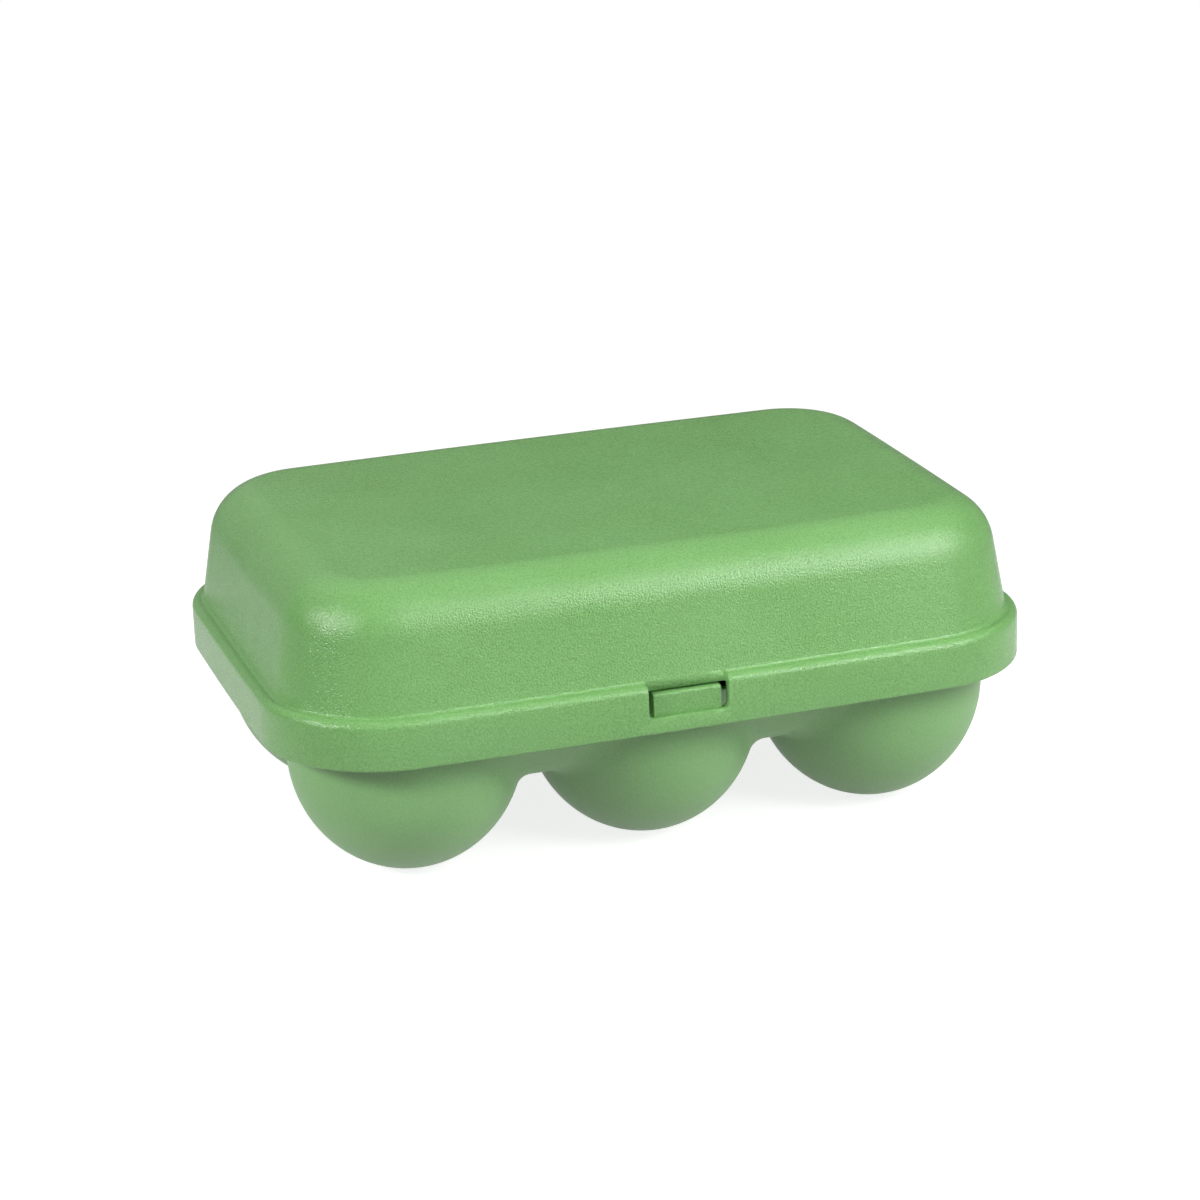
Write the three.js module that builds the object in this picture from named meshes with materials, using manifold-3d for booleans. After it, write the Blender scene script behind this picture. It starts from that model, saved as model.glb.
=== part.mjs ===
// Egg box for six eggs: a domed lid with a skirt, hinged at the back on a base tray with six round cups.
// Millimetres, Z up, front towards -Y. The origin is under the middle of the box, on what it stands on.

import * as THREE from 'three'
import { mergeVertices } from 'three/addons/utils/BufferGeometryUtils.js'
import Module from 'manifold-3d'

const wasm = await Module()
wasm.setup()

// Egg cups
const cupPitchX = 51.5
const cupPitchY = 53
const cupRadius = 24.5
const cupWall = 1.8
const cupDepth = 25.5
const cupFootRadius = 5
const cupFillet = 2.2
const cupColumns = { left: -1, middle: 0, right: 1 }
const cupRows = { front: -1, back: 1 }

// Tray round the cups: a shallow bowl whose wall leans out, with the cups' outer sides standing proud
const deckUnderside = 19
const trayWall = 1.8
const trayEdgeRadius = 9
const wallLean = THREE.MathUtils.degToRad(35)
const cupInset = 6.6
const rimEdge = 0.5
const blendReach = 1

// Lid
const lidWall = 1.8
const skirtFoot = 31.5
const skirtDepth = 10.4
const domeRise = 24.8
const ledgeWidth = 2.5
const domeDraft = THREE.MathUtils.degToRad(10)
const topFillet = 11.7
const skirtFootRound = 0.5
const ledgeEdgeRound = 1.7
const ledgeInnerRound = 0.8

// Outline of the box seen from above, with slightly bowed sides
const cornerRadius = 26.7
const longSideRadius = 2600
const shortSideRadius = 2600

// Fits
const skirtClearance = 0.7
const seatClearance = 0.3
const pinClearance = 0.3
const knuckleGap = 0.35

// Latch: a tongue of the base stands in a notch of the skirt, over the sill
const notchWidth = 17.2
const sillDepth = 3.8
const notchCornerRadius = 1.3
const notchReliefRise = 1.1
const tongueWidth = 14.6
const tongueThickness = 1.5
const tongueRoot = 30.2
const tongueSlot = 0.6
const catchRecess = 1.1
const catchChamfer = 1
const dipHeight = 38.1
const dipMargin = 2.4

// Hinge under the back of the skirt
const knuckleRadius = 2.6
const pinRadius = 1.1
const lugWidth = 9
const earWidth = 3.5
const hingeSpread = 51.5

// One overrun for every cut
const overrun = 2

// Facets
const cornerSteps = 7
const longSideSteps = 3
const shortSideSteps = 3
const cupSides = 28
const cupSteps = 6
const collarSteps = 3
const filletSteps = 6
const roundSteps = 3
const knuckleSteps = 12
const pinSides = 16

// Sizes that follow
const rimInset = lidWall + skirtClearance
const boxMargin = cupRadius + cupInset
const boxLength = cupPitchX * (cupColumns.right - cupColumns.left) + 2 * boxMargin
const boxWidth = cupPitchY + 2 * boxMargin
const ledgeTop = skirtFoot + skirtDepth
const lidTop = ledgeTop + domeRise
const ledgeUnderside = ledgeTop - lidWall
const rimTop = ledgeUnderside - seatClearance
const collarFoot = deckUnderside - cupFillet
const collarTop = rimTop - (cupInset - rimInset) / Math.tan(wallLean) + overrun
const edgeInset = wallInset(deckUnderside + trayEdgeRadius) + trayEdgeRadius / Math.cos(wallLean)
const wallWidth = trayWall / Math.cos(wallLean)
const halfWidth = boxWidth / 2

const plastic = { color: 0x7ab06c, roughness: 0.55, metalness: 0 }
const group = new THREE.Group()

function place(name, solid, x = 0, y = 0) {
  const mesh = new THREE.Mesh(geometryOf(solid), new THREE.MeshStandardMaterial(plastic))
  mesh.name = name
  mesh.position.set(x, y, 0)
  group.add(mesh)
}

// A closed geometry as a solid, without the collapsed triangles at a lathe's axis
function solidOf(source) {
  const bare = source.clone()
  bare.deleteAttribute('normal')
  bare.deleteAttribute('uv')
  const merged = mergeVertices(bare)
  const corners = Array.from(merged.index.array)
  const kept = []
  for (let i = 0; i < corners.length; i += 3) {
    const [a, b, c] = corners.slice(i, i + 3)
    if (a !== b && b !== c && c !== a) kept.push(a, b, c)
  }
  const vertProperties = new Float32Array(merged.attributes.position.array)
  const triVerts = new Uint32Array(kept)
  return new wasm.Manifold(new wasm.Mesh({ numProp: 3, vertProperties, triVerts }))
}

function geometryOf(solid) {
  const mesh = solid.getMesh()
  const geometry = new THREE.BufferGeometry()
  geometry.setAttribute('position', new THREE.BufferAttribute(mesh.vertProperties, 3))
  geometry.setIndex(new THREE.BufferAttribute(mesh.triVerts, 1))
  geometry.computeVertexNormals()
  return geometry
}

// Points on an arc in a profile's plane
function arc(centreA, centreB, radius, from, to, steps) {
  const points = []
  for (let i = 0; i <= steps; i++) {
    const angle = from + ((to - from) * i) / steps
    points.push([centreA + radius * Math.cos(angle), centreB + radius * Math.sin(angle)])
  }
  return points
}

// One quarter of the box's outline, drawn in by an inset: side arc, corner arc, side arc
function quarterOutline(inset) {
  const longCentre = [0, halfWidth - longSideRadius]
  const shortCentre = [boxLength / 2 - shortSideRadius, 0]
  const toLong = longSideRadius - cornerRadius
  const toShort = shortSideRadius - cornerRadius
  const across = [shortCentre[0] - longCentre[0], shortCentre[1] - longCentre[1]]
  const distance = Math.hypot(...across)
  const along = (toLong ** 2 - toShort ** 2 + distance ** 2) / (2 * distance)
  const aside = Math.sqrt(toLong ** 2 - along ** 2)
  const cornerX = longCentre[0] + (across[0] * along + across[1] * aside) / distance
  const cornerY = longCentre[1] + (across[1] * along - across[0] * aside) / distance
  const toLongSide = Math.atan2(cornerY - longCentre[1], cornerX - longCentre[0])
  const toShortSide = Math.atan2(cornerY - shortCentre[1], cornerX - shortCentre[0])
  const shortSide = arc(...shortCentre, shortSideRadius - inset, 0, toShortSide, shortSideSteps)
  const corner = arc(cornerX, cornerY, cornerRadius - inset, toShortSide, toLongSide, cornerSteps)
  const longSide = arc(...longCentre, longSideRadius - inset, toLongSide, Math.PI / 2, longSideSteps)
  return [...shortSide.slice(0, -1), ...corner.slice(0, -1), ...longSide]
}

function ring(inset, height) {
  const first = quarterOutline(inset)
  const second = first.slice(0, -1).reverse().map(([x, y]) => [-x, y])
  const back = [...first, ...second]
  const front = back.slice(1, -1).map(([x, y]) => [-x, -y])
  return [...back, ...front].map(([x, y]) => new THREE.Vector3(x, y, height))
}

// Closed loft through rings of equal count, capped flat at both ends
function loft(profile) {
  const rings = profile.map(([inset, height]) => ring(inset, height))
  const count = rings[0].length
  const points = rings.flat()
  const triangles = []
  for (let k = 0; k < rings.length - 1; k++) {
    for (let i = 0; i < count; i++) {
      const a = k * count + i
      const b = k * count + ((i + 1) % count)
      triangles.push(a, b, b + count, a, b + count, a + count)
    }
  }
  const last = (rings.length - 1) * count
  const firstCentre = points.push(new THREE.Vector3(0, 0, profile[0][1])) - 1
  const lastCentre = points.push(new THREE.Vector3(0, 0, profile[profile.length - 1][1])) - 1
  for (let i = 0; i < count; i++) {
    const next = (i + 1) % count
    triangles.push(firstCentre, next, i)
    triangles.push(lastCentre, last + i, last + next)
  }
  const geometry = new THREE.BufferGeometry().setFromPoints(points)
  geometry.setIndex(triangles)
  return solidOf(geometry)
}

// A turned solid about the vertical axis, from a profile of radius and height
function turned(profile) {
  const points = profile.map(([radius, height]) => new THREE.Vector2(radius, height))
  return solidOf(new THREE.LatheGeometry(points, cupSides).rotateX(Math.PI / 2))
}

// A prism along X, of a profile in Y and Z
function prismAlongX(points, centreX, width) {
  const shape = new THREE.Shape(points.map(([y, z]) => new THREE.Vector2(y, z)))
  const geometry = new THREE.ExtrudeGeometry(shape, { depth: width, bevelEnabled: false })
  const frame = new THREE.Matrix4().makeBasis(
    new THREE.Vector3(0, 1, 0),
    new THREE.Vector3(0, 0, 1),
    new THREE.Vector3(1, 0, 0)
  )
  geometry.applyMatrix4(frame).translate(centreX - width / 2, 0, 0)
  return solidOf(geometry)
}

function barAlongX(radius, length, centreX, y, z) {
  const bar = new THREE.CylinderGeometry(radius, radius, length, pinSides)
  return solidOf(bar.rotateZ(Math.PI / 2).translate(centreX, y, z))
}

// How far the outer face of the long side lies from the middle of the box, at a place along it
function sideReach(x) {
  return halfWidth - longSideRadius + Math.sqrt(longSideRadius ** 2 - x ** 2)
}

// Inset of the tray wall's outer face at a height
function wallInset(height) {
  return rimInset + (rimTop - height) * Math.tan(wallLean)
}

// The hinge axis lies just under the skirt, its knuckles flush with the skirt's outer face
const hingeX = hingeSpread / 2
const hingeY = sideReach(hingeX) - knuckleRadius
const hingeZ = skirtFoot - seatClearance - knuckleRadius

function lidShell() {
  const lean = Math.tan(domeDraft)
  const slant = Math.cos(domeDraft)
  const filletHeight = lidTop - topFillet
  const filletInset = ledgeWidth + (filletHeight - ledgeTop) * lean + topFillet / slant
  const hollowInset = ledgeWidth + lidWall / slant - lidWall * lean
  const innerFillet = topFillet - lidWall
  const cornerInset = ledgeWidth + ledgeInnerRound * lean - ledgeInnerRound / slant
  const upright = Math.PI - domeDraft
  const profile = [
    ...arc(filletInset, filletHeight, innerFillet, Math.PI / 2, upright, filletSteps),
    [hollowInset, ledgeUnderside],
    [lidWall, ledgeUnderside],
    [lidWall, skirtFoot],
    ...arc(skirtFootRound, skirtFoot + skirtFootRound, skirtFootRound, -Math.PI / 2, -Math.PI, roundSteps),
    ...arc(ledgeEdgeRound, ledgeTop - ledgeEdgeRound, ledgeEdgeRound, Math.PI, Math.PI / 2, roundSteps),
    ...arc(cornerInset, ledgeTop + ledgeInnerRound, ledgeInnerRound, -Math.PI / 2, -domeDraft, roundSteps),
    ...arc(filletInset, filletHeight, topFillet, upright, Math.PI / 2, filletSteps)
  ]
  let lid = loft(profile).subtract(notch()).subtract(notchRelief())
  for (const side of [-1, 1]) {
    lid = lid.add(hingeLug(side * hingeX))
    lid = lid.subtract(pinBore(side * hingeX))
  }
  return lid
}

// The notch runs from the sill up through the ledge, back to the foot of the dome wall
function notch() {
  const half = notchWidth / 2
  const sill = skirtFoot + sillDepth
  const top = ledgeTop + overrun
  const shape = new THREE.Shape()
  const cornerX = half - notchCornerRadius
  const cornerY = sill + notchCornerRadius
  shape.moveTo(-half, top)
  shape.lineTo(-half, cornerY)
  shape.absarc(-cornerX, cornerY, notchCornerRadius, Math.PI, Math.PI * 1.5)
  shape.lineTo(cornerX, sill)
  shape.absarc(cornerX, cornerY, notchCornerRadius, -Math.PI / 2, 0)
  shape.lineTo(half, top)
  const options = { depth: ledgeWidth + overrun, bevelEnabled: false, curveSegments: roundSteps }
  const block = new THREE.ExtrudeGeometry(shape, options).rotateX(Math.PI / 2)
  return solidOf(block.translate(0, ledgeWidth - halfWidth, 0))
}

// Slanted lower edge of the dome wall over the notch, which the tongue's top clears as it swings in
function notchRelief() {
  const front = ledgeWidth - halfWidth
  const back = front + lidWall
  const points = [
    [front, ledgeUnderside - overrun],
    [back, ledgeUnderside - overrun],
    [back, ledgeUnderside + notchReliefRise],
    [front, ledgeUnderside]
  ]
  return prismAlongX(points, 0, notchWidth)
}

// A lug of the lid: a knuckle with a neck that runs up into the back of the skirt
function hingeLug(x) {
  const knuckle = arc(hingeY, hingeZ, knuckleRadius, 0, -Math.PI, knuckleSteps)
  const inner = sideReach(x) - lidWall
  const neckTop = skirtFoot + lidWall
  const shoulder = Math.acos((inner - hingeY) / knuckleRadius)
  const crown = arc(hingeY, hingeZ, knuckleRadius, Math.PI, shoulder, knuckleSteps).slice(1)
  const points = [...knuckle, ...crown, [inner, neckTop], [hingeY + knuckleRadius, neckTop]]
  return prismAlongX(points.reverse(), x, lugWidth)
}

function pinBore(x) {
  const length = lugWidth + 2 * (knuckleGap + earWidth + overrun)
  return barAlongX(pinRadius + pinClearance, length, x, hingeY, hingeZ)
}

function baseTray() {
  const outer = loft([
    ...trayEdge(trayEdgeRadius),
    [wallInset(rimTop - rimEdge), rimTop - rimEdge],
    [rimInset + rimEdge, rimTop]
  ])
  const pocket = loft([
    ...trayEdge(trayEdgeRadius - trayWall),
    [rimInset + wallWidth, rimTop],
    [rimInset + wallWidth, rimTop + overrun]
  ])
  const underCups = loft([
    [edgeInset - blendReach, collarFoot],
    [edgeInset - blendReach, deckUnderside + trayWall]
  ])
  let tray = outer
  for (const { x, y } of cupPlaces()) {
    tray = tray.add(cupCollar().translate(x, y, 0))
    tray = tray.add(collarBlend().translate(x, y, 0).intersect(underCups))
  }
  tray = tray.subtract(pocket)
  for (const { x, y } of cupPlaces()) tray = tray.subtract(cupMouth().translate(x, y, 0))
  for (const side of [-1, 1]) tray = tray.add(hingeEars(side * hingeX)).subtract(pinBore(side * hingeX))
  return tray.subtract(tongueOpening()).subtract(rimDip())
}

// The tray's rounded lower edge, from the deck up to the leaning wall
function trayEdge(radius) {
  const centre = deckUnderside + trayEdgeRadius
  return arc(edgeInset, centre, radius, -Math.PI / 2, wallLean - Math.PI, filletSteps)
}

function cupPlaces() {
  const places = []
  for (const [row, rowSide] of Object.entries(cupRows)) {
    for (const [column, columnSide] of Object.entries(cupColumns)) {
      const name = `cup_${row}_${column}`
      places.push({ name, x: columnSide * cupPitchX, y: (rowSide * cupPitchY) / 2 })
    }
  }
  return places
}

// A cup's side is a quarter of an oval, cut flat where the cup stands, and upright above its widest
// place. Its upper part is the tray's collar, and below the collar the cup is a bowl of its own.
const ovalDepth = cupDepth / Math.sqrt(1 - (cupFootRadius / cupRadius) ** 2)
const hollowRadius = cupRadius - cupWall
const hollowDepth = ovalDepth - cupWall

function ovalSide(radius, depth, from, to, steps) {
  const points = []
  for (let i = 0; i <= steps; i++) {
    const angle = from + ((to - from) * i) / steps
    points.push([radius * Math.cos(angle), cupDepth - depth * Math.sin(angle)])
  }
  return points
}

function collarAngle(depth) {
  return Math.asin((cupDepth - collarFoot) / depth)
}

function cupBowl() {
  const footAngle = Math.acos(cupFootRadius / cupRadius)
  const outside = ovalSide(cupRadius, ovalDepth, footAngle, collarAngle(ovalDepth), cupSteps)
  const inside = ovalSide(hollowRadius, hollowDepth, Math.PI / 2, collarAngle(hollowDepth), cupSteps)
  return turned([[0, 0], ...outside, ...inside.reverse()])
}

function cupCollar() {
  const side = ovalSide(cupRadius, ovalDepth, collarAngle(ovalDepth), 0, collarSteps)
  return turned([[0, collarFoot], ...side, [cupRadius, collarTop], [0, collarTop]])
}

// Rounded inner corner between a collar and the underside of the deck
function collarBlend() {
  const foot = cupRadius * Math.cos(collarAngle(ovalDepth))
  const flare = arc(foot + cupFillet, collarFoot, cupFillet, Math.PI, Math.PI / 2, roundSteps)
  const top = deckUnderside + trayWall / 2
  return turned([[0, collarFoot], ...flare, [foot + cupFillet, top], [0, top]])
}

function cupMouth() {
  const side = ovalSide(hollowRadius, hollowDepth, collarAngle(hollowDepth), 0, collarSteps)
  const low = collarFoot - overrun
  return turned([[0, low], [side[0][0], low], ...side, [hollowRadius, collarTop], [0, collarTop]])
}

// Two ears of the base on either side of a lug, rooted in the back wall
function hingeEars(x) {
  const root = trayWall / 2
  const above = hingeZ + knuckleRadius
  const below = hingeZ - knuckleRadius
  const reach = sideReach(x)
  const points = [
    [reach - wallInset(above) - root, above],
    [reach - wallInset(below) - root, below],
    ...arc(hingeY, hingeZ, knuckleRadius, -Math.PI / 2, Math.PI / 2, knuckleSteps)
  ]
  const offset = (lugWidth + earWidth) / 2 + knuckleGap
  const left = prismAlongX(points, x - offset, earWidth)
  const right = prismAlongX(points, x + offset, earWidth)
  return left.add(right)
}

// The tongue stands free in front of the middle cup, so the wall is open round it
function tongueOpening() {
  const front = -halfWidth
  const back = cupInset + trayWall + overrun - halfWidth
  const points = [
    [front, tongueRoot - tongueSlot],
    [back, tongueRoot - tongueSlot],
    [back, rimTop + overrun],
    [front, rimTop + overrun]
  ]
  return prismAlongX(points, 0, tongueWidth + 2 * tongueSlot)
}

function rimDip() {
  const front = -halfWidth
  const back = wallInset(dipHeight) + wallWidth + overrun - halfWidth
  const points = [
    [front, dipHeight],
    [back, dipHeight],
    [back, rimTop + overrun],
    [front, rimTop + overrun]
  ]
  return prismAlongX(points, 0, notchWidth + 2 * dipMargin)
}

// The tongue's outer face starts flush with the cup and leans out to the rim
function tongueInset(height) {
  return cupInset - ((cupInset - rimInset) * (height - tongueRoot)) / (rimTop - tongueRoot)
}

function latchTongue() {
  const face = (height) => tongueInset(height) - halfWidth
  const catchFace = catchRecess - halfWidth
  const catchUnderside = skirtFoot + sillDepth + seatClearance
  const points = [
    [face(tongueRoot), tongueRoot],
    [face(tongueRoot) + tongueThickness, tongueRoot],
    [face(rimTop) + tongueThickness, rimTop],
    [catchFace + catchChamfer, rimTop],
    [catchFace, rimTop - catchChamfer],
    [catchFace, catchUnderside],
    [face(catchUnderside), catchUnderside]
  ]
  return prismAlongX(points, 0, tongueWidth)
}

function hingePin(x) {
  return barAlongX(pinRadius, lugWidth + 2 * (knuckleGap + earWidth), x, hingeY, hingeZ)
}

place('lid_shell', lidShell())
place('base_tray', baseTray())
for (const { name, x, y } of cupPlaces()) place(name, cupBowl(), x, y)
place('latch_tongue', latchTongue())
place('hinge_pin_left', hingePin(-hingeX))
place('hinge_pin_right', hingePin(hingeX))

export default group
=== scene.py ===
import math

import bpy
import numpy as np
from mathutils import Matrix, Vector


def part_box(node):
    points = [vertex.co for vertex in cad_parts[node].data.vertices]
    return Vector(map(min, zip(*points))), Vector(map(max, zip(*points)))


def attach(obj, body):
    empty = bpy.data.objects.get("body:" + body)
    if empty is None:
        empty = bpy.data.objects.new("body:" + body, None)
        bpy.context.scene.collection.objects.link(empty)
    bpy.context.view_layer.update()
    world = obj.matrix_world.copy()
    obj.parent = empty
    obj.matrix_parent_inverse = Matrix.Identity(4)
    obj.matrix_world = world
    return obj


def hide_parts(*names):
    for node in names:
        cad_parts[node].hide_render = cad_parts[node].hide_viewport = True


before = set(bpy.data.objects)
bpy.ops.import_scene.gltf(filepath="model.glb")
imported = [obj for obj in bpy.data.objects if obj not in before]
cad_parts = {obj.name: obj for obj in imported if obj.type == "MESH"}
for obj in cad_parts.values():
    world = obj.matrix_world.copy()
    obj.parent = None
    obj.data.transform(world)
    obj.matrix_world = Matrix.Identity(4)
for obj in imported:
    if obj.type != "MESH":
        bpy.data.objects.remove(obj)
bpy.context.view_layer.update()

MM = 0.001

# Sizes read from the frame
lid_low, lid_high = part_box("lid_shell")
tongue_low, tongue_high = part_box("latch_tongue")
pin_low, pin_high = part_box("hinge_pin_right")
BOX_LENGTH = lid_high.x - lid_low.x
HALF_WIDTH = (lid_high.y - lid_low.y) / 2
LID_TOP = lid_high.z
RIM_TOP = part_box("base_tray")[1].z
TONGUE_WIDTH = tongue_high.x - tongue_low.x
TONGUE_ROOT = tongue_low.z
PIN_RADIUS = (pin_high.z - pin_low.z) / 2
HINGE_X = (pin_high.x + pin_low.x) / 2
HINGE_Y = (pin_high.y + pin_low.y) / 2
HINGE_Z = (pin_high.z + pin_low.z) / 2

# Outline seen from above
CORNER_RADIUS = 26.7 * MM
LONG_SIDE_RADIUS = 2600 * MM
SHORT_SIDE_RADIUS = 2600 * MM

# Lid
LID_WALL = 1.8 * MM
LEDGE_WIDTH = 2.5 * MM
SKIRT_DEPTH = 10.4 * MM
SEAT_CLEARANCE = 0.3 * MM
DOME_DRAFT = math.radians(10)
TOP_FILLET = 11.7 * MM
SKIRT_FOOT_ROUND = 0.5 * MM
LEDGE_EDGE_ROUND = 1.7 * MM
LEDGE_INNER_ROUND = 0.8 * MM
WALL_FOOT = 3.0 * MM
LID_EDGE_BEVEL = 0.35 * MM
LEDGE_TOP = RIM_TOP + SEAT_CLEARANCE + LID_WALL
SKIRT_FOOT = LEDGE_TOP - SKIRT_DEPTH

# Cups
CUP_PITCH_X = 51.5 * MM
CUP_PITCH_Y = 53.0 * MM
CUP_RADIUS = 24.5 * MM
CUP_WALL = 1.8 * MM
CUP_DEPTH = 25.5 * MM
CUP_FOOT_RADIUS = 5.0 * MM
CUP_FILLET = 2.2 * MM
CUP_INSET = 6.6 * MM
MOUTH_ROUND = 1.0 * MM
OVAL_DEPTH = CUP_DEPTH / math.sqrt(1 - (CUP_FOOT_RADIUS / CUP_RADIUS) ** 2)

# Tray round the cups: a shallow bowl whose wall leans out to the rim
DECK_UNDERSIDE = 19.0 * MM
TRAY_WALL = 1.8 * MM
TRAY_EDGE_RADIUS = 9.0 * MM
WALL_LEAN = math.radians(35)
RIM_INSET = 2.5 * MM
RIM_ROUND = 0.4 * MM
TRAY_EDGE_CENTRE = DECK_UNDERSIDE + TRAY_EDGE_RADIUS
TRAY_EDGE_INSET = (
    RIM_INSET
    + (RIM_TOP - TRAY_EDGE_CENTRE) * math.tan(WALL_LEAN)
    + TRAY_EDGE_RADIUS / math.cos(WALL_LEAN)
)

# Latch
NOTCH_WIDTH = 17.2 * MM
NOTCH_CORNER_RADIUS = 1.3 * MM
NOTCH_SHOULDER = 0.5 * MM
NOTCH_RELIEF_LIFT = 0.15 * MM
NOTCH_RELIEF_RISE = 1.1 * MM
SILL_DEPTH = 3.4 * MM
TONGUE_SLOT = 0.6 * MM
TONGUE_THICKNESS = 1.5 * MM
TONGUE_BEVEL = 0.2 * MM
CATCH_RECESS = 1.1 * MM
CATCH_ROUND = 0.6 * MM
CATCH_GAP = 0.03 * MM
DIP_HEIGHT = 38.1 * MM
DIP_MARGIN = 2.4 * MM

# Hinge
KNUCKLE_RADIUS = 2.6 * MM
KNUCKLE_GAP = 0.35 * MM
PIN_CLEARANCE = 0.3 * MM
LUG_WIDTH = 9.0 * MM
EAR_WIDTH = 3.5 * MM
EAR_ARM = 11.5 * MM
EAR_ROUND = 0.4 * MM

# Fineness of the meshes
LONG_SIDE_STEPS = 12
SHORT_SIDE_STEPS = 8
CORNER_STEPS = 24
TOP_FILLET_STEPS = 24
INNER_FILLET_STEPS = 16
NOTCH_CORNER_STEPS = 8
ROUND_STEPS = 6
FOOT_ROUND_STEPS = 5
KNUCKLE_STEPS = 32
BEVEL_SEGMENTS = 3
BEVEL_ANGLE = math.radians(40)
SHARP_ANGLE = math.radians(50)
NET_STEP = 0.6 * MM
NET_MARGIN = 2 * NET_STEP

# How far cutters reach past what they cut, and a small step that keeps two faces apart
OVERRUN = 2.0 * MM
TRIM = 0.02 * MM

# Plastics: colour, grain's size, height and tone, roughness and shine
GREEN = (0.187, 0.412, 0.132)
# The catch is moulded in the same green plastic; its copy of the green is made about a tenth darker, which
# is painted shade on the catch
CATCH_SHADED_GREEN = (0.168, 0.378, 0.118)
PLASTICS = {
    "lid_plastic": (GREEN, 0.38 * MM, 0.16 * MM, 0.15, 0.2, 0.48),
    "base_plastic": (GREEN, 0.42 * MM, 0.06 * MM, 0.08, 0.4, 1.0),
    # The catch's plastic: the lid's grain with the darker green, painted shade
    "catch_plastic_painted_shade": (CATCH_SHADED_GREEN, 0.38 * MM, 0.16 * MM, 0.15, 0.2, 0.48),
}
PLASTIC_IOR = 1.49
GRAIN_DETAIL = 2
GRAIN_RANGE = (0.3, 0.7)
DRIFT_SIZE = 30 * MM
DRIFT_DETAIL = 3
DRIFT_COLOUR_RANGE = (0.25, 0.75)
DRIFT_ROUGHNESS_RANGE = (0.3, 0.7)
DEEPER_SHARES = (0.93, 0.96, 0.9)
PALER_SHARES = (1.06, 1.04, 1.1)
ROUGHNESS_SPREAD = 0.04
# Edges that stick out are made a little paler
EDGE_PALING_RANGE = (0.5, 0.6)
EDGE_PALING_TONE = 1.05

WHITE = (1, 1, 1, 1)

# Floor: its paper, the white that only the camera and the gloss see, and where the shadow fades out
FLOOR_REACH = 2.5
FLOOR_WHITE = 0.42
FLOOR_TONE_SPREAD = 0.02
FLOOR_ROUGHNESS = 0.9
FLOOR_SHINE = 0.2
FLOOR_LIFT = 0.82
FLOOR_REFLECTED = 0.7
PAPER_FIBRE = 2 * MM
PAPER_DETAIL = 3
SHADOW_REACH = 0.17

# World: its light on the box, and how bright its horizon and its ceiling show in the gloss
AMBIENT = 0.08
REFLECTED = 0.25
CEILING = 0.08
HORIZON_RISE = 0.12

# Lamps: azimuth and elevation in degrees, distance and size in metres, power in watts
LAMPS = {
    "key": (34, 38, 1.1, 0.4, 5.3),
    "key_high": (34, 58, 1.1, 0.9, 0.8),
    "key_low": (36, 20, 1.1, 0.25, 2.1),
    "right_near": (48, 32, 0.6, 0.3, 1.1),
    "front_low": (22, 6, 1.1, 0.5, 0.3),
    "left": (-75, 28, 1.1, 0.22, 7.8),
    "left_high": (-45, 45, 1.1, 0.6, 0.2),
    "back_high": (165, 72, 1.1, 2.0, 4.2),
    "back_low": (-160, 25, 1.1, 1.2, 1.0),
}

# Camera, fitted to the photograph
IMAGE_PIXELS = 1200
FOCAL_PIXELS = 3399.6
SENSOR_MM = 36.0
CAMERA_AZIMUTH = math.radians(-17.903)
CAMERA_ELEVATION = math.radians(18.80)
CAMERA_ROLL = math.radians(-1.968)
CAMERA_DISTANCE = 0.7359
CAMERA_TARGET = Vector((0.0004, 0.0, 0.0412))
CAMERA_CLIP_START = 0.01


def arc(centre_a, centre_b, radius, start, end, steps):
    """Points on an arc in a profile's plane."""
    angles = [start + (end - start) * i / steps for i in range(steps + 1)]
    return [(centre_a + radius * math.cos(a), centre_b + radius * math.sin(a)) for a in angles]


def outline_centres():
    """Centres of the outline's long side arc, short side arc and corner arc in one quarter."""
    long_centre = Vector((0, HALF_WIDTH - LONG_SIDE_RADIUS))
    short_centre = Vector((BOX_LENGTH / 2 - SHORT_SIDE_RADIUS, 0))
    to_long = LONG_SIDE_RADIUS - CORNER_RADIUS
    to_short = SHORT_SIDE_RADIUS - CORNER_RADIUS
    across = short_centre - long_centre
    distance = across.length
    along = (to_long**2 - to_short**2 + distance**2) / (2 * distance)
    aside = math.sqrt(to_long**2 - along**2)
    unit = across / distance
    corner = long_centre + unit * along + Vector((unit.y, -unit.x)) * aside
    return long_centre, short_centre, corner


LONG_CENTRE, SHORT_CENTRE, CORNER_CENTRE = outline_centres()
LONG_ANGLE = math.atan2(*(CORNER_CENTRE - LONG_CENTRE).yx)
SHORT_ANGLE = math.atan2(*(CORNER_CENTRE - SHORT_CENTRE).yx)


def quarter_outline(inset):
    """One quarter of the box's outline: short side arc, corner arc, long side arc."""
    short_side = arc(*SHORT_CENTRE, SHORT_SIDE_RADIUS - inset, 0, SHORT_ANGLE, SHORT_SIDE_STEPS)
    bend = arc(*CORNER_CENTRE, CORNER_RADIUS - inset, SHORT_ANGLE, LONG_ANGLE, CORNER_STEPS)
    long_side = arc(*LONG_CENTRE, LONG_SIDE_RADIUS - inset, LONG_ANGLE, math.pi / 2, LONG_SIDE_STEPS)
    return short_side[:-1] + bend[:-1] + long_side


def ring(inset, height):
    """The whole outline as points at a height."""
    first = quarter_outline(inset)
    second = [(-x, y) for x, y in reversed(first[:-1])]
    back = first + second
    front = [(-x, -y) for x, y in back[1:-1]]
    return [Vector((x, y, height)) for x, y in back + front]


def side_reach(x):
    """How far the outer face of the long side lies from the middle, at a place along it."""
    return HALF_WIDTH - LONG_SIDE_RADIUS + math.sqrt(LONG_SIDE_RADIUS**2 - x**2)


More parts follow.
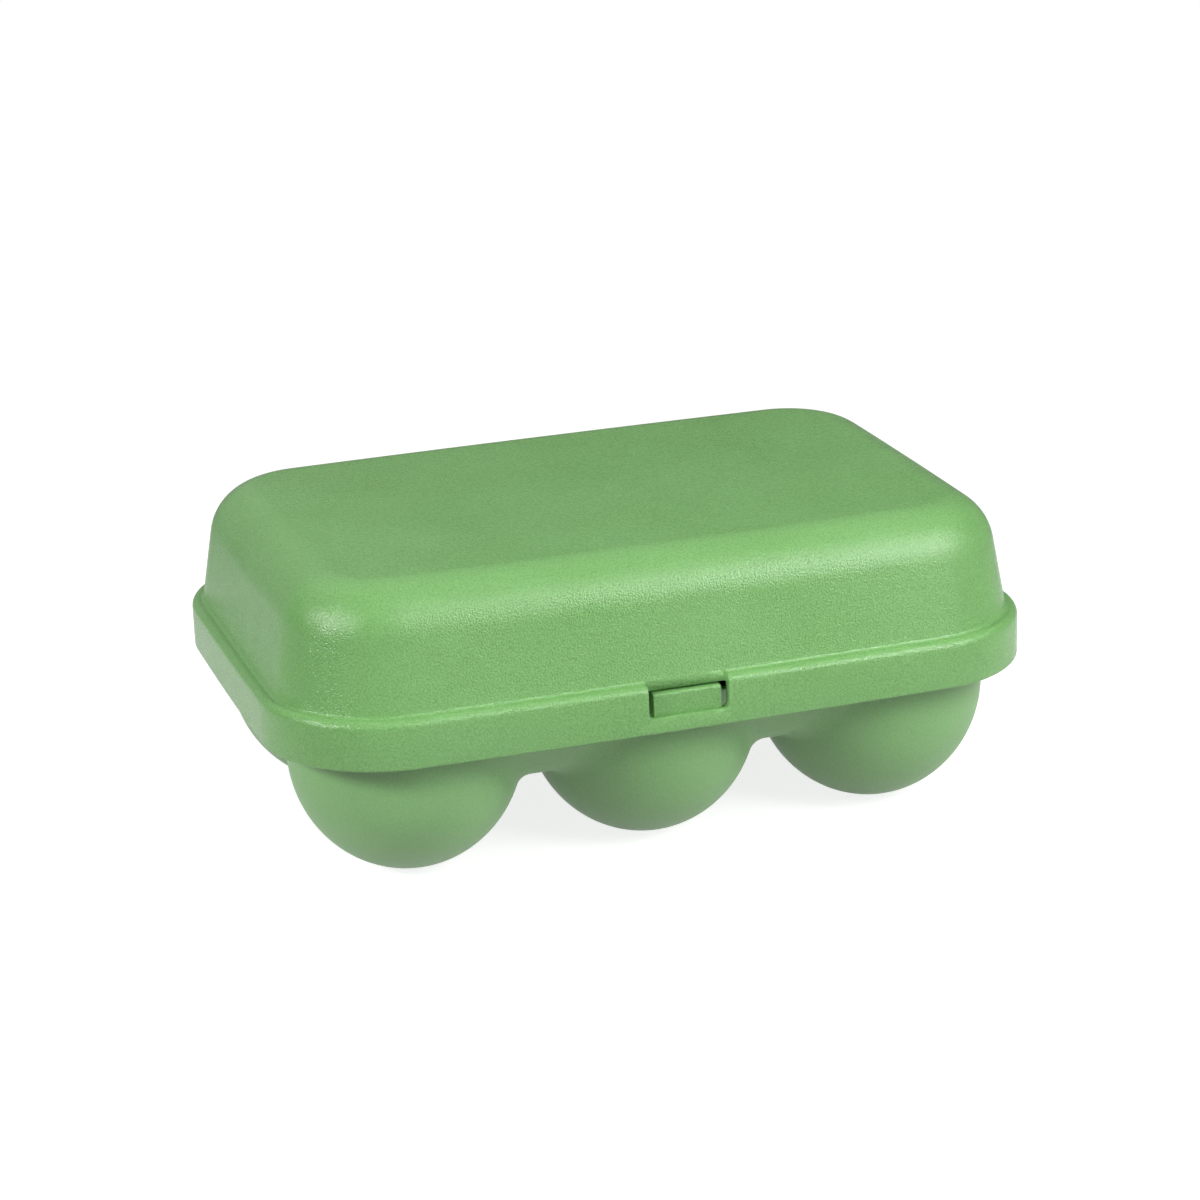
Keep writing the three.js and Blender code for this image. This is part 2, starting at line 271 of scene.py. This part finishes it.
def new_object(name, points, faces):
    """An object of its own in the scene from points and faces."""
    mesh = bpy.data.meshes.new(name)
    mesh.from_pydata([tuple(p) for p in points], [], faces)
    mesh.validate()
    obj = bpy.data.objects.new(name, mesh)
    bpy.context.scene.collection.objects.link(obj)
    return obj


def skin(name, rings):
    """A closed skin through rings of equal count, capped flat at both ends."""
    count = len(rings[0])
    last = (len(rings) - 1) * count
    faces = [tuple(range(count - 1, -1, -1)), tuple(range(last, last + count))]
    for start in range(0, last, count):
        for i in range(count):
            j = (i + 1) % count
            faces.append((start + i, start + j, start + count + j, start + count + i))
    return new_object(name, [point for points in rings for point in points], faces)


def prism_along_x(name, profile, centre_x, width):
    """A prism along X of a counterclockwise profile in Y and Z."""
    ends = (centre_x - width / 2, centre_x + width / 2)
    return skin(name, [[Vector((x, y, z)) for y, z in profile] for x in ends])


def apply_modifiers(obj):
    """Replaces an object's mesh by what its modifiers make of it."""
    depsgraph = bpy.context.evaluated_depsgraph_get()
    mesh = bpy.data.meshes.new_from_object(obj.evaluated_get(depsgraph))
    old = obj.data
    obj.modifiers.clear()
    obj.data = mesh
    bpy.data.meshes.remove(old)
    mesh.name = obj.name


def combine(obj, others, operation):
    """Joins or cuts an object with each of the others, which are used up."""
    for other in others:
        modifier = obj.modifiers.new("Boolean", "BOOLEAN")
        modifier.operation = operation
        modifier.solver = "MANIFOLD"
        modifier.object = other
        apply_modifiers(obj)
        bpy.data.objects.remove(other)


def bevel(obj, width, limit):
    """Rounds an object's edges, chosen by their angle or by their weight."""
    modifier = obj.modifiers.new("Bevel", "BEVEL")
    modifier.width = width
    modifier.segments = BEVEL_SEGMENTS
    modifier.limit_method = limit
    modifier.angle_limit = BEVEL_ANGLE
    modifier.harden_normals = True
    apply_modifiers(obj)


def bevel_end_edges(obj, width, floor):
    """Rounds the edges of a prism's two ends that rise above a height."""
    points = obj.data.vertices
    weights = obj.data.attributes.new("bevel_weight_edge", "FLOAT", "EDGE")
    for edge in obj.data.edges:
        start, end = (points[i].co for i in edge.vertices)
        at_end = abs(start.x - end.x) < width
        weights.data[edge.index].value = at_end and max(start.z, end.z) > floor + width
    bevel(obj, width, "WEIGHT")


# Building the lid


def pin_bore(x):
    """Cutter for the hole that a hinge pin goes through."""
    length = LUG_WIDTH + 2 * (KNUCKLE_GAP + EAR_WIDTH + OVERRUN)
    circle = arc(HINGE_Y, HINGE_Z, PIN_RADIUS + PIN_CLEARANCE, 0, 2 * math.pi, KNUCKLE_STEPS)
    return prism_along_x("pin_bore", circle[:-1], x, length)


def hinge_lug(x):
    """A knuckle under the back of the skirt, with the neck that carries it."""
    inner = side_reach(x) - LID_WALL
    neck_top = SKIRT_FOOT + LID_WALL
    shoulder = math.acos((inner - HINGE_Y) / KNUCKLE_RADIUS)
    knuckle = arc(HINGE_Y, HINGE_Z, KNUCKLE_RADIUS, shoulder, 2 * math.pi, KNUCKLE_STEPS)
    profile = knuckle + [(HINGE_Y + KNUCKLE_RADIUS, neck_top), (inner, neck_top)]
    return prism_along_x("hinge_lug", profile, x, LUG_WIDTH)


def wall_face(height):
    """Place along Y of the dome's front wall, carried on straight to a height near the ledge."""
    return LEDGE_WIDTH + (height - LEDGE_TOP) * math.tan(DOME_DRAFT) - HALF_WIDTH


def notch():
    """Cutter for the notch in the skirt, from the sill up, with round corners and shoulders."""
    half = NOTCH_WIDTH / 2
    sill = SKIRT_FOOT + SILL_DEPTH
    top = LEDGE_TOP + OVERRUN
    radius = NOTCH_CORNER_RADIUS
    shoulder = LEDGE_TOP - NOTCH_SHOULDER
    outer = half + NOTCH_SHOULDER
    outline = [
        *arc(-half + radius, sill + radius, radius, math.pi, math.pi * 1.5, NOTCH_CORNER_STEPS),
        *arc(half - radius, sill + radius, radius, -math.pi / 2, 0, NOTCH_CORNER_STEPS),
        *arc(outer, shoulder, NOTCH_SHOULDER, math.pi, math.pi / 2, ROUND_STEPS),
        (outer, top),
        (-outer, top),
        *arc(-outer, shoulder, NOTCH_SHOULDER, math.pi / 2, 0, ROUND_STEPS),
    ]
    ends = (wall_face(LEDGE_TOP - LID_WALL), -HALF_WIDTH - OVERRUN)
    return skin("notch", [[Vector((x, y, z)) for x, z in outline] for y in ends])


def notch_back():
    """Cutter that takes the ledge's inner round off the dome's wall behind the notch."""
    low = LEDGE_TOP - LID_WALL
    high = LEDGE_TOP + LEDGE_INNER_ROUND
    profile = [
        (-HALF_WIDTH, low),
        (wall_face(low) - TRIM, low),
        (wall_face(high) - TRIM, high),
        (-HALF_WIDTH, high),
    ]
    return prism_along_x("notch_back", profile, 0, NOTCH_WIDTH)


def notch_relief():
    """Cutter that slopes the underside of the dome's wall, so that the catch can swing in under it."""
    under = RIM_TOP + SEAT_CLEARANCE
    front = wall_face(under)
    back = front + LID_WALL
    profile = [
        (front, under - OVERRUN),
        (back, under - OVERRUN),
        (back, under + NOTCH_RELIEF_RISE),
        (front, under + NOTCH_RELIEF_LIFT),
    ]
    return prism_along_x("notch_relief", profile, 0, NOTCH_WIDTH)


def lid_profile():
    """Inset and height of the lid's rings, from the middle of its inside to the middle of its top."""
    lean = math.tan(DOME_DRAFT)
    slant = math.cos(DOME_DRAFT)
    upright = math.pi - DOME_DRAFT
    under = LEDGE_TOP - LID_WALL
    fillet_height = LID_TOP - TOP_FILLET
    fillet_inset = LEDGE_WIDTH + (fillet_height - LEDGE_TOP) * lean + TOP_FILLET / slant
    inner_fillet = TOP_FILLET - LID_WALL
    hollow_inset = LEDGE_WIDTH + LID_WALL / slant - LID_WALL * lean
    inner = LEDGE_INNER_ROUND
    inner_inset = LEDGE_WIDTH + inner * lean - inner / slant
    foot = SKIRT_FOOT_ROUND
    edge = LEDGE_EDGE_ROUND
    return [
        *arc(fillet_inset, fillet_height, inner_fillet, math.pi / 2, upright, INNER_FILLET_STEPS),
        (hollow_inset, under),
        (LID_WALL, under),
        (LID_WALL, SKIRT_FOOT),
        *arc(foot, SKIRT_FOOT + foot, foot, -math.pi / 2, -math.pi, FOOT_ROUND_STEPS),
        *arc(edge, LEDGE_TOP - edge, edge, math.pi, math.pi / 2, ROUND_STEPS),
        *arc(inner_inset, LEDGE_TOP + inner, inner, -math.pi / 2, -DOME_DRAFT, ROUND_STEPS),
        (LEDGE_WIDTH + WALL_FOOT * lean, LEDGE_TOP + WALL_FOOT),
        *arc(fillet_inset, fillet_height, TOP_FILLET, upright, math.pi / 2, TOP_FILLET_STEPS),
    ]


def make_lid():
    """Dome, ledge and skirt in one shell, with the notch and the two hinge lugs."""
    lid = skin("lid", [ring(inset, height) for inset, height in lid_profile()])
    places = (-HINGE_X, HINGE_X)
    combine(lid, [notch(), notch_back()], "DIFFERENCE")
    combine(lid, [hinge_lug(x) for x in places], "UNION")
    combine(lid, [pin_bore(x) for x in places], "DIFFERENCE")
    bevel(lid, LID_EDGE_BEVEL, "ANGLE")
    combine(lid, [notch_relief()], "DIFFERENCE")
    lid.data.shade_smooth()
    return lid


# Building the base: one distance field and a net over it


def round_join(a, b, radius):
    """Joins two distance fields with a fillet where they meet."""
    corner = np.hypot(np.maximum(radius - a, 0), np.maximum(radius - b, 0))
    return np.maximum(radius, np.minimum(a, b)) - corner


def round_cut(a, b, radius):
    """What two distance fields have in common, with a rounded edge where they cross."""
    return -round_join(-a, -b, radius)


def inset_field(x, y):
    """How far a place seen from above lies inside the box's outline."""
    x, y = np.abs(x), np.abs(y)
    turn = np.arctan2(y - CORNER_CENTRE.y, x - CORNER_CENTRE.x)
    bend = CORNER_RADIUS - np.hypot(x - CORNER_CENTRE.x, y - CORNER_CENTRE.y)
    long_side = LONG_SIDE_RADIUS - np.hypot(x - LONG_CENTRE.x, y - LONG_CENTRE.y)
    short_side = SHORT_SIDE_RADIUS - np.hypot(x - SHORT_CENTRE.x, y - SHORT_CENTRE.y)
    in_bend = (turn > SHORT_ANGLE) & (turn < LONG_ANGLE)
    return np.where(in_bend, bend, np.minimum(long_side, short_side))


def reach_field(x, y):
    """How far a place seen from above lies from the middle of its nearest cup."""
    column = CUP_PITCH_X * np.clip(np.round(x / CUP_PITCH_X), -1, 1)
    row = np.where(y < 0, -CUP_PITCH_Y / 2, CUP_PITCH_Y / 2)
    return np.hypot(x - column, y - row)


def tray_field(inset, z, radius):
    """Distance from the tray's form: flat below, with a leaning wall and a rounded edge between them."""
    u = inset - TRAY_EDGE_INSET
    v = z - TRAY_EDGE_CENTRE
    wall = -math.cos(WALL_LEAN) * u - math.sin(WALL_LEAN) * v
    on_edge = (u < 0) & (u * math.tan(WALL_LEAN) > v)
    return np.where(on_edge, np.hypot(u, v), np.maximum(wall, -v)) - radius


def cup_field(reach, z, radius, depth):
    """Distance from a cup's form: half an oval, and upright above its widest place."""
    low = np.minimum(z - CUP_DEPTH, 0)
    scaled = np.hypot(reach / radius, low / depth)
    slope = np.hypot(reach / radius**2, low / depth**2)
    return scaled * (scaled - 1) / np.maximum(slope, 1)


def outer_field(x, y, z, inset, reach):
    """Distance from the base's outer form: the tray, the cups on their flat feet and the hinge ears."""
    cup = np.maximum(cup_field(reach, z, CUP_RADIUS, OVAL_DEPTH), -z)
    solid = round_join(tray_field(inset, z, TRAY_EDGE_RADIUS), cup, CUP_FILLET)
    arm = np.hypot(y - np.clip(y, HINGE_Y - EAR_ARM, HINGE_Y), z - HINGE_Z) - KNUCKLE_RADIUS
    offset = (LUG_WIDTH + EAR_WIDTH) / 2 + KNUCKLE_GAP
    for place in (-HINGE_X - offset, -HINGE_X + offset, HINGE_X - offset, HINGE_X + offset):
        ear = round_cut(arm, np.abs(x - place) - EAR_WIDTH / 2, EAR_ROUND)
        solid = round_join(solid, ear, EAR_ROUND)
    return solid


def hollow_field(z, inset, reach):
    """Distance from the base's hollow: the inside of the tray and of the cups."""
    hollow = cup_field(reach, z, CUP_RADIUS - CUP_WALL, OVAL_DEPTH - CUP_WALL)
    return round_join(tray_field(inset, z, TRAY_EDGE_RADIUS - TRAY_WALL), hollow, MOUTH_ROUND)


def front_block(x, y, z, width, low):
    """Distance from a block in the middle of the front wall, from a height up."""
    back = CUP_INSET + CUP_WALL + OVERRUN - HALF_WIDTH
    return np.maximum(np.maximum(np.abs(x) - width / 2, y - back), low - z)


def base_field(x, y, z):
    """Distance from the base's faces, less than zero in its plastic."""
    inset = inset_field(x, y)
    reach = reach_field(x, y)
    solid = np.maximum(outer_field(x, y, z, inset, reach), -hollow_field(z, inset, reach))
    solid = round_cut(solid, z - RIM_TOP, RIM_ROUND)
    bore = PIN_RADIUS + PIN_CLEARANCE - np.hypot(y - HINGE_Y, z - HINGE_Z)
    slot = front_block(x, y, z, TONGUE_WIDTH + 2 * TONGUE_SLOT, TONGUE_ROOT - TONGUE_SLOT)
    dip = front_block(x, y, z, NOTCH_WIDTH + 2 * DIP_MARGIN, DIP_HEIGHT)
    return np.maximum(np.maximum(solid, bore), np.maximum(-slot, -dip))


def net_over(field, low, high):
    """A net of quads over the zero level of a field: one vertex in each cell that the level crosses."""
    counts = [int((high[k] - low[k]) / NET_STEP) + 2 for k in range(3)]
    axes = [low[k] + NET_STEP * np.arange(counts[k]) for k in range(3)]
    values = field(axes[0][:, None, None], axes[1][None, :, None], axes[2][None, None, :])
    strides = np.array((counts[1] * counts[2], counts[2], 1))
    total = values.size
    sums = np.zeros((3, total))
    hits = np.zeros(total)
    quads = []
    # Each grid edge that the level crosses gives its crossing to the four cells round it, which make a quad
    for axis in range(3):
        first = np.take(values, range(counts[axis] - 1), axis)
        second = np.take(values, range(1, counts[axis]), axis)
        edges = np.argwhere((first < 0) != (second < 0))
        start, end = first[tuple(edges.T)], second[tuple(edges.T)]
        points = edges.astype(float)
        points[:, axis] += start / (start - end)
        u, v = strides[(axis + 1) % 3], strides[(axis + 2) % 3]
        corner = edges @ strides
        cells = np.stack((corner, corner - u, corner - u - v, corner - v), 1)
        for k in range(3):
            sums[k] += np.bincount(cells.ravel(), np.repeat(points[:, k], 4), total)
        hits += np.bincount(cells.ravel(), minlength=total)
        quads.append(np.where((start < 0)[:, None], cells, cells[:, ::-1]))
    used = np.flatnonzero(hits)
    order = np.zeros(total, int)
    order[used] = np.arange(len(used))
    vertices = np.array(low) + NET_STEP * (sums[:, used] / hits[used]).T
    return vertices, order[np.concatenate(quads)]


def make_base():
    """Rim, tray, six cups and four hinge ears in one skin."""
    side = BOX_LENGTH / 2 - RIM_INSET + NET_MARGIN
    front = RIM_INSET - HALF_WIDTH - NET_MARGIN
    low = (-side, front, -NET_MARGIN)
    high = (side, HALF_WIDTH + NET_MARGIN, RIM_TOP + NET_MARGIN)
    points, faces = net_over(base_field, low, high)
    base = new_object("base", points, faces.tolist())
    base.data.shade_smooth()
    return base


# Building the latch tongue


def tongue_face(height):
    """Place along Y of the tongue's front face at a height between its root and the rim."""
    share = (height - TONGUE_ROOT) / (RIM_TOP - TONGUE_ROOT)
    return CUP_INSET - (CUP_INSET - RIM_INSET) * share - HALF_WIDTH


def make_tongue():
    """A leaning strip from its root to the rim, with the catch that fills the notch."""
    root = tongue_face(TONGUE_ROOT)
    catch_face = CATCH_RECESS - HALF_WIDTH
    catch_underside = SKIRT_FOOT + SILL_DEPTH + CATCH_GAP
    radius = CATCH_ROUND
    profile = [
        (root, TONGUE_ROOT),
        (root + TONGUE_THICKNESS, TONGUE_ROOT),
        (tongue_face(RIM_TOP) + TONGUE_THICKNESS, RIM_TOP),
        *arc(catch_face + radius, RIM_TOP - radius, radius, math.pi / 2, math.pi, ROUND_STEPS),
        (catch_face, RIM_TOP - radius - TRIM),
        (catch_face, catch_underside),
        (tongue_face(catch_underside), catch_underside),
    ]
    tongue = prism_along_x("tongue", profile, 0, TONGUE_WIDTH)
    tongue.data.shade_smooth()
    tongue.data.set_sharp_from_angle(angle=SHARP_ANGLE)
    bevel_end_edges(tongue, TONGUE_BEVEL, catch_underside)
    return tongue


# Materials


def feed(tree, socket, value):
    """Links an output to a socket, or sets the socket itself to a number or colour."""
    if isinstance(value, bpy.types.NodeSocket):
        tree.links.new(value, socket)
    else:
        socket.default_value = value


def noise(tree, coordinates, size, detail):
    """Noise from 0 to 1 with spots of about a size."""
    node = tree.nodes.new("ShaderNodeTexNoise")
    feed(tree, node.inputs["Vector"], coordinates)
    feed(tree, node.inputs["Scale"], 1 / size)
    feed(tree, node.inputs["Detail"], detail)
    return node.outputs["Fac"]


def mapped(tree, value, before, after):
    """A value carried over from one range to another, and held at the ends."""
    node = tree.nodes.new("ShaderNodeMapRange")
    feed(tree, node.inputs["Value"], value)
    for name, number in zip(("From Min", "From Max", "To Min", "To Max"), (*before, *after)):
        feed(tree, node.inputs[name], number)
    return node.outputs["Result"]


def calculated(tree, operation, first, second):
    """What a Math node makes of two values."""
    node = tree.nodes.new("ShaderNodeMath")
    node.operation = operation
    feed(tree, node.inputs[0], first)
    feed(tree, node.inputs[1], second)
    return node.outputs[0]


def mixed(tree, kind, factor, first, second):
    """A mix of two numbers or colours."""
    node = tree.nodes.new("ShaderNodeMix")
    node.data_type = kind
    feed(tree, node.inputs["Factor"], factor)
    feed(tree, node.inputs["A"], first)
    feed(tree, node.inputs["B"], second)
    return node.outputs["Result"]


def node_material(name):
    """A new material with its node tree and its plain shader."""
    material = bpy.data.materials.new(name)
    material.use_nodes = True
    return material, material.node_tree, material.node_tree.nodes["Principled BSDF"]


def tinted(colour, shares):
    """A colour with each of its parts changed by a share of its own."""
    return (*(part * share for part, share in zip(colour, shares)), 1)


def moulded_plastic(name, colour, grain_size, grain_height, grain_tone, roughness, shine):
    """Moulded plastic: a fine etched grain, a faint drift of colour and gloss, and paler edges where the
    surface turns sharply outward.
    """
    material, tree, shader = node_material(name)
    coordinates = tree.nodes.new("ShaderNodeTexCoord").outputs["Object"]
    drift = noise(tree, coordinates, DRIFT_SIZE, DRIFT_DETAIL)
    grain = noise(tree, coordinates, grain_size, GRAIN_DETAIL)
    edge = tree.nodes.new("ShaderNodeNewGeometry").outputs["Pointiness"]

    share = mapped(tree, drift, DRIFT_COLOUR_RANGE, (0, 1))
    hue = mixed(tree, "RGBA", share, tinted(colour, DEEPER_SHARES), tinted(colour, PALER_SHARES))
    pitted = mapped(tree, grain, GRAIN_RANGE, (1 - grain_tone, 1 + grain_tone))
    paler_edges = mapped(tree, edge, EDGE_PALING_RANGE, (1, EDGE_PALING_TONE))
    tone = tree.nodes.new("ShaderNodeHueSaturation")
    feed(tree, tone.inputs["Color"], hue)
    feed(tree, tone.inputs["Value"], calculated(tree, "MULTIPLY", pitted, paler_edges))
    feed(tree, shader.inputs["Base Color"], tone.outputs["Color"])

    roughness_range = (roughness - ROUGHNESS_SPREAD, roughness + ROUGHNESS_SPREAD)
    feed(tree, shader.inputs["Roughness"], mapped(tree, drift, DRIFT_ROUGHNESS_RANGE, roughness_range))
    feed(tree, shader.inputs["IOR"], PLASTIC_IOR)
    feed(tree, shader.inputs["Specular IOR Level"], shine)

    bump = tree.nodes.new("ShaderNodeBump")
    feed(tree, bump.inputs["Strength"], 1)
    feed(tree, bump.inputs["Distance"], grain_height)
    feed(tree, bump.inputs["Height"], grain)
    feed(tree, shader.inputs["Normal"], bump.outputs["Normal"])
    return material


def background_rays(tree, reflected):
    """1 where the camera sees the background, and a lower level in reflections and through glass."""
    path = tree.nodes.new("ShaderNodeLightPath")
    level = path.outputs["Is Camera Ray"]
    for kind in ("Is Glossy Ray", "Is Transmission Ray"):
        weaker = mapped(tree, path.outputs[kind], (0, 1), (0, reflected))
        level = calculated(tree, "MAXIMUM", level, weaker)
    return level


def floor_paper():
    """White paper that keeps the shadow near the box and fades to plain white further out."""
    material, tree, shader = node_material("floor_paper")
    coordinates = tree.nodes.new("ShaderNodeTexCoord").outputs["Object"]
    fibre = noise(tree, coordinates, PAPER_FIBRE, PAPER_DETAIL)
    tone = mapped(tree, fibre, (0, 1), (FLOOR_WHITE - FLOOR_TONE_SPREAD, FLOOR_WHITE))
    lift = calculated(tree, "MULTIPLY", background_rays(tree, FLOOR_REFLECTED), FLOOR_LIFT)
    feed(tree, shader.inputs["Base Color"], tone)
    feed(tree, shader.inputs["Roughness"], FLOOR_ROUGHNESS)
    feed(tree, shader.inputs["Specular IOR Level"], FLOOR_SHINE)
    feed(tree, shader.inputs["Emission Color"], WHITE)
    feed(tree, shader.inputs["Emission Strength"], lift)

    reach = tree.nodes.new("ShaderNodeVectorMath")
    reach.operation = "LENGTH"
    feed(tree, reach.inputs[0], coordinates)
    far = mapped(tree, reach.outputs["Value"], (SHADOW_REACH, 2 * SHADOW_REACH), (0, 1))
    plain = tree.nodes.new("ShaderNodeEmission")
    feed(tree, plain.inputs["Strength"], background_rays(tree, REFLECTED))
    blend = tree.nodes.new("ShaderNodeMixShader")
    feed(tree, blend.inputs["Fac"], far)
    feed(tree, blend.inputs[1], shader.outputs["BSDF"])
    feed(tree, blend.inputs[2], plain.outputs["Emission"])
    feed(tree, tree.nodes["Material Output"].inputs["Surface"], blend.outputs["Shader"])
    return material


# Camera and studio


def direction(azimuth, elevation):
    """The way from the box to a place. Azimuth 0 is in front of the box, and it grows to the right."""
    across = math.cos(elevation)
    return Vector((math.sin(azimuth) * across, -math.cos(azimuth) * across, math.sin(elevation)))


def make_camera():
    """The camera of the photograph."""
    data = bpy.data.cameras.new("camera")
    data.sensor_width = SENSOR_MM
    data.lens = FOCAL_PIXELS / IMAGE_PIXELS * SENSOR_MM
    data.clip_start = CAMERA_CLIP_START
    camera = bpy.data.objects.new("camera", data)
    bpy.context.scene.collection.objects.link(camera)
    back = direction(CAMERA_AZIMUTH, CAMERA_ELEVATION)
    right = Vector((0, 0, 1)).cross(back).normalized()
    up = back.cross(right)
    turn = Matrix((right, up, back)).transposed().to_4x4()
    roll = Matrix.Rotation(CAMERA_ROLL, 4, "Z")
    camera.matrix_world = Matrix.Translation(CAMERA_TARGET + back * CAMERA_DISTANCE) @ turn @ roll
    bpy.context.scene.camera = camera


def make_lamp(name, azimuth, elevation, distance, size, power):
    """A square lamp that faces the box."""
    way = direction(math.radians(azimuth), math.radians(elevation))
    data = bpy.data.lights.new(name, "AREA")
    data.size = size
    data.energy = power
    lamp = bpy.data.objects.new(name, data)
    lamp.location = CAMERA_TARGET + way * distance
    lamp.rotation_euler = (-way).to_track_quat("-Z", "Y").to_euler()
    bpy.context.scene.collection.objects.link(lamp)


def make_floor():
    """A plain floor under the box."""
    corners = ((-1, -1), (1, -1), (1, 1), (-1, 1))
    floor = new_object("floor", [Vector((x, y, 0)) * FLOOR_REACH for x, y in corners], [(0, 1, 2, 3)])
    floor.data.materials.append(floor_paper())


def make_world():
    """Dim light from all round, a soft horizon in the gloss, and white for the camera."""
    world = bpy.data.worlds.new("studio")
    bpy.context.scene.world = world
    world.use_nodes = True
    tree = world.node_tree
    background = tree.nodes["Background"]
    way = tree.nodes.new("ShaderNodeSeparateXYZ")
    feed(tree, way.inputs[0], tree.nodes.new("ShaderNodeTexCoord").outputs["Generated"])
    reflected = mapped(tree, way.outputs["Z"], (0, HORIZON_RISE), (REFLECTED, CEILING))
    lit = mixed(tree, "FLOAT", background_rays(tree, 1), AMBIENT, reflected)
    by_camera = tree.nodes.new("ShaderNodeLightPath").outputs["Is Camera Ray"]
    feed(tree, background.inputs["Color"], WHITE)
    feed(tree, background.inputs["Strength"], mixed(tree, "FLOAT", by_camera, lit, 1))


bpy.context.scene.view_settings.view_transform = "Standard"
make_camera()
make_floor()
make_world()
for lamp_name, lamp_values in LAMPS.items():
    make_lamp(lamp_name, *lamp_values)


# The box: each piece with its material, body and the nodes that it replaces


def dress(obj, material, body, slot, *nodes):
    """Gives a piece its material and says what it rides on and replaces."""
    obj.data.materials.clear()
    obj.data.materials.append(material)
    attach(obj, body)
    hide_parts(*nodes)


plastic = {name: moulded_plastic(name, *look) for name, look in PLASTICS.items()}
cups = [f"cup_{row}_{column}" for row in ("front", "back") for column in ("left", "middle", "right")]
dress(make_lid(), plastic["lid_plastic"], "lid", "lid_plastic", "lid_shell")
dress(make_base(), plastic["base_plastic"], "base", "base_plastic", "base_tray", *cups)
# The catch gets the darker copy of the green: painted shade
dress(make_tongue(), plastic["catch_plastic_painted_shade"], "latch", "base_plastic", "latch_tongue")

# The pins stay as the frame has them, in the base's plastic
for pin_name in ("hinge_pin_left", "hinge_pin_right"):
    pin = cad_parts[pin_name]
    pin.data.materials.clear()
    pin.data.materials.append(plastic["base_plastic"])
